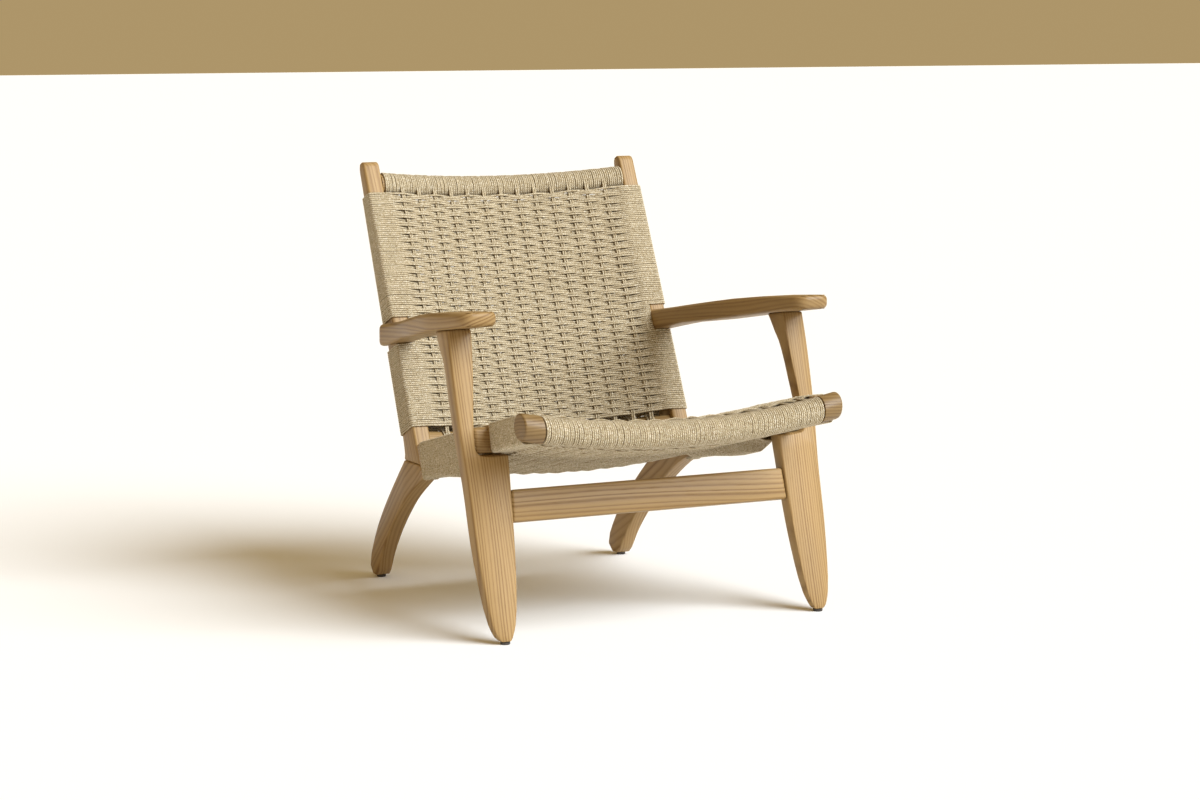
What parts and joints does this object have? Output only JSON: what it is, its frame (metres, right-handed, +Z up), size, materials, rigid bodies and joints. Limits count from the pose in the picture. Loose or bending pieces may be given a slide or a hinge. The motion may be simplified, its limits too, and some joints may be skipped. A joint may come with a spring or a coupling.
{
  "type": "lounge armchair",
  "caption": "Low wooden armchair with reclined woven-cord back, sloping woven-cord seat, paddle armrests, blade front legs and swept rear legs.",
  "frame": {"origin": "on the floor under the middle of the chair's bounding box", "axes": "+Z up, the chair faces -Y, X across the seat with the sitter's left at +X; X = 0 is the plane of symmetry"},
  "size_m": [0.6842, 0.7381, 0.7325],
  "materials": {
    "wood": "oiled ash with a satin sheen",
    "cord": "twisted natural paper cord, matte",
    "glide": "dark moulded glide",
    "steel": "plain nail"
  },
  "bodies": {
    "root": {"front_leg_left": "wood", "front_leg_right": "wood", "rear_leg_left": "wood", "rear_leg_right": "wood", "back_stile_left": "wood", "back_stile_right": "wood", "armrest_left": "wood", "armrest_right": "wood", "seat_side_rail_left": "wood", "seat_side_rail_right": "wood", "seat_front_rail": "wood", "seat_rear_rail": "wood", "back_top_rail": "wood", "back_bottom_rail": "wood", "front_stretcher": "wood", "leg_dowel_lower_left": "wood", "leg_dowel_lower_right": "wood", "leg_dowel_upper_left": "wood", "leg_dowel_upper_right": "wood", "rear_leg_dowel_front_left": "wood", "rear_leg_dowel_front_right": "wood", "rear_leg_dowel_rear_left": "wood", "rear_leg_dowel_rear_right": "wood", "stile_dowel_left": "wood", "stile_dowel_right": "wood", "arm_dowel_left": "wood", "arm_dowel_right": "wood", "back_weave_front": "cord", "back_weave_rear": "cord", "seat_weave_top": "cord", "seat_weave_bottom": "cord", "stile_wrap_upper_left": "cord", "stile_wrap_upper_right": "cord", "stile_wrap_lower_left": "cord", "stile_wrap_lower_right": "cord", "side_rail_wrap_front_left": "cord", "side_rail_wrap_front_right": "cord", "side_rail_wrap_rear_left": "cord", "side_rail_wrap_rear_right": "cord", "front_rail_wrap": "cord", "rear_rail_wrap": "cord", "top_rail_wrap": "cord", "bottom_rail_wrap": "cord", "glide_front_left_pad": "glide", "glide_front_right_pad": "glide", "glide_rear_left_pad": "glide", "glide_rear_right_pad": "glide", "glide_front_left_nail": "steel", "glide_front_right_nail": "steel", "glide_rear_left_nail": "steel", "glide_rear_right_nail": "steel"}
  },
  "joints": []
}
